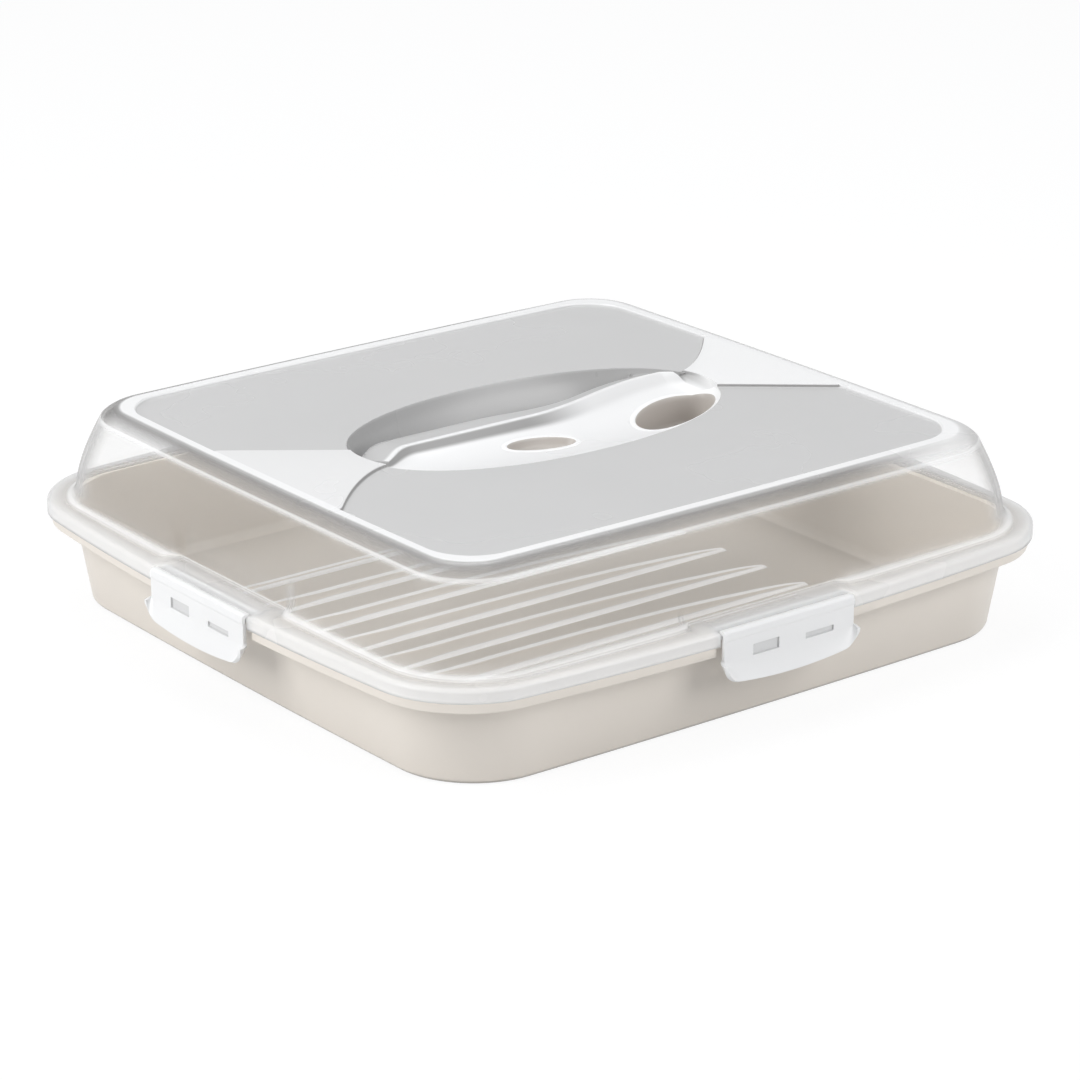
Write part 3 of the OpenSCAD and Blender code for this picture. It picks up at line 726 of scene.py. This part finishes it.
def cup_rows(s, oval, around=96):
    """A moulded cup: a rolled collar on the dish, a steep wall with a slight draft and a rounded floor."""
    a = np.linspace(0, 2 * np.pi, around, endpoint=False)
    turn = math.radians(oval["turn"])

    def ring(grow, lift=None, z=None):
        u = (oval["half"][0] + grow) * np.cos(a)
        w = (oval["half"][1] + grow) * np.sin(a)
        x = oval["at"][0] + u * math.cos(turn) - w * math.sin(turn)
        y = oval["at"][1] + u * math.sin(turn) + w * math.cos(turn)
        if z is None:
            z = well_height(s, x, y) + lift
        return np.column_stack([x, y, np.broadcast_to(z, x.shape)])

    floor = s.top_height - s.panel_drop - oval["drop"]
    rows = [ring(3.9, -0.1), ring(3.5, 0.12), ring(2.4, 0.22), ring(1.2, 0.25), ring(0.5, 0.1), ring(0, -0.4)]
    brink = rows[-1]
    for t in (0.2, 0.5, 0.8):
        row = ring(-0.8 * t, z=floor)
        row[:, 2] = brink[:, 2] + (floor + 2 - brink[:, 2]) * t
        rows.append(row)
    rows += [ring(-0.8 - 2 * (1 - math.cos(t)), z=floor + 2 * (1 - math.sin(t)))
             for t in np.radians([0, 30, 60, 90])]
    return np.array(rows)


def close_crest(hood):
    """Joins the front and back halves of the well's last level and drops the points under the openings."""
    work = bmesh.new()
    work.from_mesh(hood.data)
    bmesh.ops.remove_doubles(work, verts=work.verts, dist=2e-6)
    bmesh.ops.delete(work, geom=[v for v in work.verts if not v.link_faces], context="VERTS")
    work.to_mesh(hood.data)
    work.free()


class CARRIER_OT_hood(bpy.types.Operator):
    """The frosted hood with its skirt, band, panels and grip well"""
    bl_idname = "carrier.hood"
    bl_label = "Hood"

    def execute(self, context):
        s = millimetres()
        finish = context.scene.carrier_finish
        shine = finish.shine_tint
        shell = finish_material("frosted_hood_plastic", shine, 0.26, 1400, 0.08, veiled_and_shaded=True, airy=True)
        grip = finish_material("frosted_grip_plastic", shine, 0.28, 1400, 0.08, veiled_and_shaded=True)
        cup_skin = finish_material("shaded_cup_plastic", finish.cup_tint, 0.40, 1400, 0.08)
        collar_skin = finish_material("collar_plastic", shine, 0.28, 1400, 0.08)
        rows = hood_rows(s)
        points = rows.reshape(-1, 3)
        faces = grid_faces(len(rows), AROUND, True)
        middle = points[faces].mean(1)
        opened = inside_oval(middle, THUMB, HOLE_MARGIN) | inside_oval(middle, SLOT, HOLE_MARGIN)
        keep = ~opened | (middle[:, 2] < LOWEST_WELL)
        cut = s.clip_width / 2 + s.clip_gap
        reach_y, reach_x = s.rim_y + s.rim_bow, s.rim_x + s.rim_bow
        brim = s.rim_height + s.hood_wall
        at_clip = ((np.abs(middle[:, 0]) < cut) & (np.abs(middle[:, 1]) > reach_y - CLIP_BAY)) | (
            (np.abs(middle[:, 1]) < cut) & (np.abs(middle[:, 0]) > reach_x - CLIP_BAY))
        keep &= ~(at_clip & (middle[:, 2] < brim + 0.2))
        hood = make_piece("hood_shell", "lid", shell, points, [faces[keep]],
                          nodes=("lid",), smooth=35)
        hood.data.materials.append(grip)
        in_well = np.repeat(np.arange(len(rows) - 1) >= WELL_LEVEL - 1, AROUND)
        hood.data.polygons.foreach_set("material_index", in_well[keep].astype(np.int32))
        # tone is the hood's painted light and shade; cover is how much of what lies behind it hides
        for name, values in zip(("tone", "cover"), hood_finish(s, rows)):
            hood.data.attributes.new(name, "FLOAT", "POINT").data.foreach_set("value", values.ravel())
        close_crest(hood)
        add_wall(hood, s.hood_wall * 0.001)
        for name, oval in (("thumb_cup", THUMB), ("slot_cup", SLOT)):
            ring = cup_rows(s, oval)
            count = ring.shape[1]
            centre = ring[-1].mean(0)
            skin = np.concatenate([ring.reshape(-1, 3), [centre]])
            cup = make_piece(name, "lid", cup_skin, skin,
                             [grid_faces(len(ring), count, True),
                              centre_fan((len(ring) - 1) * count, count, len(ring) * count, True)])
            cup.data.materials.append(collar_skin)
            on_collar = np.arange(len(cup.data.polygons)) < COLLAR_ROWS * count
            cup.data.polygons.foreach_set("material_index", on_collar.astype(np.int32))
            add_wall(cup, CUP_WALL)
        return {"FINISHED"}


def on_side(points, side, s):
    """Turns points (along, out, up), measured from the rim's outermost line, to one side of the carrier."""
    half = (s.rim_y if side in ("front", "back") else s.rim_x) + s.rim_bow
    angle = math.radians({"front": 0, "back": 180, "left": -90, "right": 90}[side])
    u, y = points[..., 0], -half - points[..., 1]
    return np.stack([u * math.cos(angle) - y * math.sin(angle), u * math.sin(angle) + y * math.cos(angle),
                     points[..., 2]], -1)


def box_points(low, high):
    """The eight corners of a box and its six faces, which point outwards."""
    (x0, y0, z0), (x1, y1, z1) = low, high
    corners = np.array([[x, y, z] for z in (z0, z1) for y in (y0, y1) for x in (x0, x1)], float)
    faces = np.array([[0, 2, 3, 1], [4, 5, 7, 6], [0, 1, 5, 4], [2, 6, 7, 3], [0, 4, 6, 2], [1, 3, 7, 5]])
    return corners, faces


def bar_points(u0, u1, out, z, radius, around=28):
    """A round bar along the side: a circle carried from u0 to u1, with flat ends."""
    a = np.linspace(0, 2 * np.pi, around, endpoint=False)
    circle = np.column_stack([out + radius * np.cos(a), z + radius * np.sin(a)])
    rows = np.array([np.column_stack([np.full(around, u), circle]) for u in (u0, u1)])
    points = np.concatenate([rows.reshape(-1, 3), [[u0, out, z], [u1, out, z]]])
    return points, [grid_faces(2, around, True)[:, ::-1], centre_fan(0, around, 2 * around, True),
                    centre_fan(around, around, 2 * around + 1, False)]


def gather(parts):
    """Joins several (points, faces) parts into one list of points and faces."""
    points, faces, start = [], [], 0
    for part, quads in parts:
        points.append(part)
        for block in (quads if isinstance(quads, list) else [quads]):
            faces.append(block + start)
        start += len(part)
    return np.concatenate(points), faces


# The hinge: radius of the bar and of its ears, play and wall of the barrel
BAR_RADIUS, EAR_RADIUS, BARREL_PLAY, BARREL_WALL = 1.5, 2.0, 0.1, 1.6
EAR_WIDTH, MIDDLE_EAR_WIDTH = 2.6, 5.9


def hinge_sizes(s):
    """Section of the hinge: the bar's axis and the rail behind it."""
    barrel = BAR_RADIUS + BARREL_PLAY + BARREL_WALL
    axis_out = s.clip_proud - s.clip_wall - barrel + 0.8
    return SimpleNamespace(barrel=barrel, axis_out=axis_out, axis_z=s.rim_height + s.hood_wall - barrel,
                           rail_out=axis_out - barrel - 1.3)


# Radius of a clip's lower corners, and its windows: from u to u, lower and upper edge below the top
CLIP_CORNER = 9.0
WINDOW = (-25.5, -7.5, 17.2, 11.2)
SLIT = (11.3, 31.1, 16.4, 13.6)
WINDOW_DEPTH = 1.1
# How far below the top a clip's profile starts to be stretched, and where its finger lip starts
STRETCH_FROM, FLARE_FROM = 15, 20.6
# Profile of a clip above its finger lip: out from its face and below the top
CLIP_PROFILE = ((-4.7, 0), (-2.6, 0), (-1.3, 0.3), (-0.4, 1.1), (0, 2.4), (0, 4.6), (-0.1, 5.1), (-0.45, 5.6),
                (-0.5, 6.2), (-0.5, 10.9), (-0.5, 11.3), (-0.5, 13.4), (-0.5, 13.7), (-0.5, 15.9),
                (-0.5, 16.3), (-0.5, 16.9), (-0.5, 17.3), (-0.45, 19.6), (-0.1, FLARE_FROM))
# The noses that catch the tray's lip: middles along the clip and half width
NOSES, NOSE_HALF = (-16.5, 21), 8


def clip_columns(s):
    """Stations across the clip, close together at its ends and at the walls of its windows."""
    half = s.clip_width / 2
    marks = [-half, -half + 0.5, -half + 3, -half + CLIP_CORNER, -26, -25.4, -7.6, -7, 10.8, 11.4, 31, 31.6,
             half - CLIP_CORNER, half - 3, half - 0.5, half]
    counts = [3, 6, 8, 4, 3, 8, 3, 8, 3, 8, 3, 2, 8, 6, 3]
    return np.append(stations(marks, counts), half)


def clip_skin(s):
    """The clip's outer face on a grid: stations u across by a profile (out, z) from the hinge down.

    The profile rolls over the top, falls straight, and flares out at the finger lip. Below its middle the
    profile is stretched so that the lower edge follows an arc, and two windows are pressed into it.
    """
    top = s.rim_height + s.hood_wall
    low = top - s.clip_height
    face = s.clip_proud
    knots = [(face + out, top - below) for out, below in CLIP_PROFILE]
    flare = [(face - 0.1 + (s.clip_flare + 0.1) * t ** 1.15,
              top - FLARE_FROM - (s.clip_height - FLARE_FROM) * t) for t in np.linspace(0, 1, 13)[1:]]
    profile = np.array(knots + flare)
    u = clip_columns(s)
    half = s.clip_width / 2
    radius = (half ** 2 + s.clip_arc ** 2) / (2 * s.clip_arc)
    rise = radius - np.sqrt(radius ** 2 - u ** 2)
    inset = np.clip((np.abs(u) - half + CLIP_CORNER) / CLIP_CORNER, 0, 1)
    round_off = CLIP_CORNER * (1 - np.sqrt(1 - inset ** 2))
    rise = rise + round_off
    out = np.repeat(profile[:, :1], len(u), 1)
    z = np.repeat(profile[:, 1:], len(u), 1)
    start = top - STRETCH_FROM
    weight = np.clip((start - z) / (start - low), 0, 1) ** 1.1
    z = z + rise * weight

    def pressed(u0, u1, low_edge, high_edge):
        inside = ((u > u0) & (u < u1)).astype(float)
        level = (profile[:, 1] > top - low_edge) & (profile[:, 1] < top - high_edge)
        return inside[None, :] * level[:, None]

    out = out - WINDOW_DEPTH * (pressed(*WINDOW) + pressed(*SLIT))
    return np.stack([np.broadcast_to(u, out.shape), out, z], -1)


class CARRIER_OT_hinges(bpy.types.Operator):
    """The rails on the hood that hold the clips' bars"""
    bl_idname = "carrier.hinges"
    bl_label = "Hinge rails"

    def execute(self, context):
        s = millimetres()
        h = hinge_sizes(s)
        colour = context.scene.carrier_finish.rail_tint
        material = finish_material("frosted_rail_plastic", colour, 0.32, 1400, 0.10, alpha=0.85)
        cut = s.clip_width / 2 + s.clip_gap
        parts = []
        for side in SIDES:
            blocks = [box_points((-cut - 0.9, h.rail_out - 2.6, h.axis_z - 2.2),
                                 (cut + 0.9, h.rail_out, s.rim_height + 1.8))]
            for u, w in ((-cut + 2.7, EAR_WIDTH), (0, MIDDLE_EAR_WIDTH), (cut - 2.7, EAR_WIDTH)):
                blocks.append(box_points((u - w, h.rail_out - 1, h.axis_z - 1.2),
                                         (u + w, h.axis_out - 0.3, h.axis_z + 0.5)))
                blocks.append(bar_points(u - w, u + w, h.axis_out, h.axis_z, EAR_RADIUS))
            blocks.append(bar_points(-cut - 0.4, cut + 0.4, h.axis_out, h.axis_z, BAR_RADIUS))
            for points, faces in blocks:
                turned = faces if isinstance(faces, list) else faces[:, ::-1]
                parts.append((on_side(points, side, s), turned))
        points, faces = gather(parts)
        rails = make_piece("hinge_rails", "lid", material, points, faces)
        soften(rails, 0.0003)
        return {"FINISHED"}


class CARRIER_OT_clips(bpy.types.Operator):
    """The four snap clips with their barrels, windows and finger lips"""
    bl_idname = "carrier.clips"
    bl_label = "Clips"

    def execute(self, context):
        s = millimetres()
        h = hinge_sizes(s)
        colour = context.scene.carrier_finish.clip_tint
        material = finish_material("milky_clip_plastic", colour, 0.28, 1200, 0.08, alpha=0.95)
        # painted shade: a darker copy of the clip plastic on the floors of the pressed windows
        dim = [0.80 * c for c in colour]
        shade = finish_material("shaded_clip_plastic", dim, 0.34, 1200, 0.08, alpha=0.95)
        grid = clip_skin(s)
        faces = grid_faces(grid.shape[0], grid.shape[1], False)[:, ::-1]
        middle = grid.reshape(-1, 3)[faces].mean(1)
        below = s.rim_height + s.hood_wall - middle[:, 2]
        darker = (middle[:, 1] < s.clip_proud - 1) & (below > 11) & (below < 17.4)
        for side in SIDES:
            name = "clip_" + side
            skin = make_piece("snap_" + name, name, material,
                              on_side(grid.reshape(-1, 3), side, s), [faces], nodes=(name,), smooth=30)
            skin.data.materials.append(shade)
            skin.data.polygons.foreach_set("material_index", darker.astype(np.int32))
            add_wall(skin, s.clip_wall * 0.001)
            soften(skin, 0.0003, angle=50)
            parts = []
            reach = s.clip_width / 2 - 5.4 - 0.6
            for u0, u1 in ((-reach, -6.5), (6.5, reach)):
                points, quads = bar_points(u0, u1, h.axis_out, h.axis_z, h.barrel - 0.05)
                parts.append((on_side(points, side, s), quads))
            for at in NOSES:
                nose_z = s.rim_height - s.lip_drop - 0.4
                points, quads = box_points((at - NOSE_HALF, -9.0, nose_z - 2.2),
                                           (at + NOSE_HALF, s.clip_proud - s.clip_wall, nose_z - 0.3))
                parts.append((on_side(points, side, s), quads[:, ::-1]))
            points, quads = gather(parts)
            works = make_piece("works_" + name, name, material, points, quads)
            soften(works, 0.0003)
        return {"FINISHED"}


CAMERA_AT = (-1.2215, -1.5831, 0.7710)
LOOK_AT = (-0.0034, -0.0086, 0.0436)
LENS = 123.5
FLOOR_WHITE, FLOOR_WHITE_SHARE = 1.05, 0.85
SKY_STRENGTH = 0.28
# Name, place and size in metres and power in watts of each lamp
LAMPS = (("left_softbox", (-1.9, 0.2, 1.2), (1.4, 1.6), 32),
         ("right_softbox", (0.9, -2.0, 1.3), (1.6, 1.6), 31),
         ("top_softbox", (0.2, 0.9, 2.2), (2.2, 2.2), 24))


def seen_directly(tree):
    """An output that is 1 for camera, glossy and transmission rays and 0 for all others."""
    rays = add_node(tree, "LightPath")
    first = add_node(tree, "Math", operation="MAXIMUM")
    second = add_node(tree, "Math", operation="MAXIMUM")
    tree.links.new(rays.outputs["Is Camera Ray"], first.inputs[0])
    tree.links.new(rays.outputs["Is Glossy Ray"], first.inputs[1])
    tree.links.new(first.outputs[0], second.inputs[0])
    tree.links.new(rays.outputs["Is Transmission Ray"], second.inputs[1])
    return second.outputs[0]


def whiten_world(tree):
    """Shows the world white to the camera and in reflections, and leaves its light as it is."""
    white = add_node(tree, "Background")
    mix = add_node(tree, "MixShader")
    tree.links.new(seen_directly(tree), mix.inputs[0])
    tree.links.new(tree.nodes["Background"].outputs[0], mix.inputs[1])
    tree.links.new(white.outputs[0], mix.inputs[2])
    tree.links.new(mix.outputs[0], tree.nodes["World Output"].inputs["Surface"])


def brighten_floor(tree):
    """Lifts the floor towards white for the camera and in reflections, and keeps a share of its shading."""
    part = add_node(tree, "Math", {1: FLOOR_WHITE_SHARE}, operation="MULTIPLY")
    white = add_node(tree, "Emission", {"Strength": FLOOR_WHITE})
    mix = add_node(tree, "MixShader")
    tree.links.new(seen_directly(tree), part.inputs[0])
    tree.links.new(part.outputs[0], mix.inputs[0])
    tree.links.new(tree.nodes["Principled BSDF"].outputs[0], mix.inputs[1])
    tree.links.new(white.outputs[0], mix.inputs[2])
    tree.links.new(mix.outputs[0], tree.nodes["Material Output"].inputs["Surface"])


class CARRIER_OT_stage(bpy.types.Operator):
    """The floor, the soft lights, the white surroundings and the camera"""
    bl_idname = "carrier.stage"
    bl_label = "Stage"

    def execute(self, context):
        scene = context.scene
        scene.view_settings.view_transform = "Standard"
        mesh = bpy.data.meshes.new("floor")
        mesh.from_pydata([(-4, -4, 0), (4, -4, 0), (4, 4, 0), (-4, 4, 0)], [], [(0, 1, 2, 3)])
        floor = bpy.data.objects.new("floor", mesh)
        scene.collection.objects.link(floor)
        material = bpy.data.materials.new("pale_floor")
        material.use_nodes = True
        shader = material.node_tree.nodes["Principled BSDF"]
        shader.inputs["Base Color"].default_value = (*scene.carrier_finish.floor_tint, 1)
        shader.inputs["Roughness"].default_value = 0.9
        shader.inputs["Specular IOR Level"].default_value = 0.0
        mesh.materials.append(material)
        brighten_floor(material.node_tree)
        world = bpy.data.worlds.new("studio")
        scene.world = world
        world.use_nodes = True
        sky = world.node_tree.nodes["Background"]
        sky.inputs["Color"].default_value = (0.9, 0.93, 1.0, 1)
        sky.inputs["Strength"].default_value = SKY_STRENGTH
        whiten_world(world.node_tree)
        for name, at, size, power in LAMPS:
            lamp = bpy.data.lights.new(name, "AREA")
            lamp.shape = "RECTANGLE"
            lamp.size, lamp.size_y = size
            lamp.energy = power
            obj = bpy.data.objects.new(name, lamp)
            obj.location = at
            obj.rotation_euler = (Vector((0, 0, 0.05)) - Vector(at)).to_track_quat("-Z", "Y").to_euler()
            scene.collection.objects.link(obj)
        camera = bpy.data.cameras.new("photo_view")
        camera.lens = LENS
        camera.sensor_width = 36
        camera.clip_start, camera.clip_end = 0.05, 20
        obj = bpy.data.objects.new("photo_view", camera)
        obj.location = CAMERA_AT
        obj.rotation_euler = (Vector(LOOK_AT) - Vector(CAMERA_AT)).to_track_quat("-Z", "Y").to_euler()
        scene.collection.objects.link(obj)
        scene.camera = obj
        return {"FINISHED"}


OPERATORS = (CARRIER_OT_tray, CARRIER_OT_hood, CARRIER_OT_hinges, CARRIER_OT_clips, CARRIER_OT_stage)


class CARRIER_PT_panel(bpy.types.Panel):
    """Lists the carrier's pieces, sizes and colours"""
    bl_idname = "CARRIER_PT_panel"
    bl_label = "Cake carrier"
    bl_space_type = "VIEW_3D"
    bl_region_type = "UI"
    bl_category = "Cake carrier"

    def draw(self, context):
        for operator in OPERATORS:
            self.layout.operator(operator.bl_idname)
        for group in (context.scene.carrier_sizes, context.scene.carrier_finish):
            column = self.layout.column()
            for name in type(group).__annotations__:
                column.prop(group, name)


CLASSES = (CarrierSizes, CarrierFinish, *OPERATORS, CARRIER_PT_panel)


def register():
    for cls in CLASSES:
        bpy.utils.register_class(cls)
    bpy.types.Scene.carrier_sizes = bpy.props.PointerProperty(type=CarrierSizes)
    bpy.types.Scene.carrier_finish = bpy.props.PointerProperty(type=CarrierFinish)


def unregister():
    del bpy.types.Scene.carrier_finish
    del bpy.types.Scene.carrier_sizes
    for cls in reversed(CLASSES):
        bpy.utils.unregister_class(cls)


def main():
    register()
    bpy.ops.carrier.tray()
    bpy.ops.carrier.hood()
    bpy.ops.carrier.hinges()
    bpy.ops.carrier.clips()
    bpy.ops.carrier.stage()


if __name__ == "__main__":
    main()
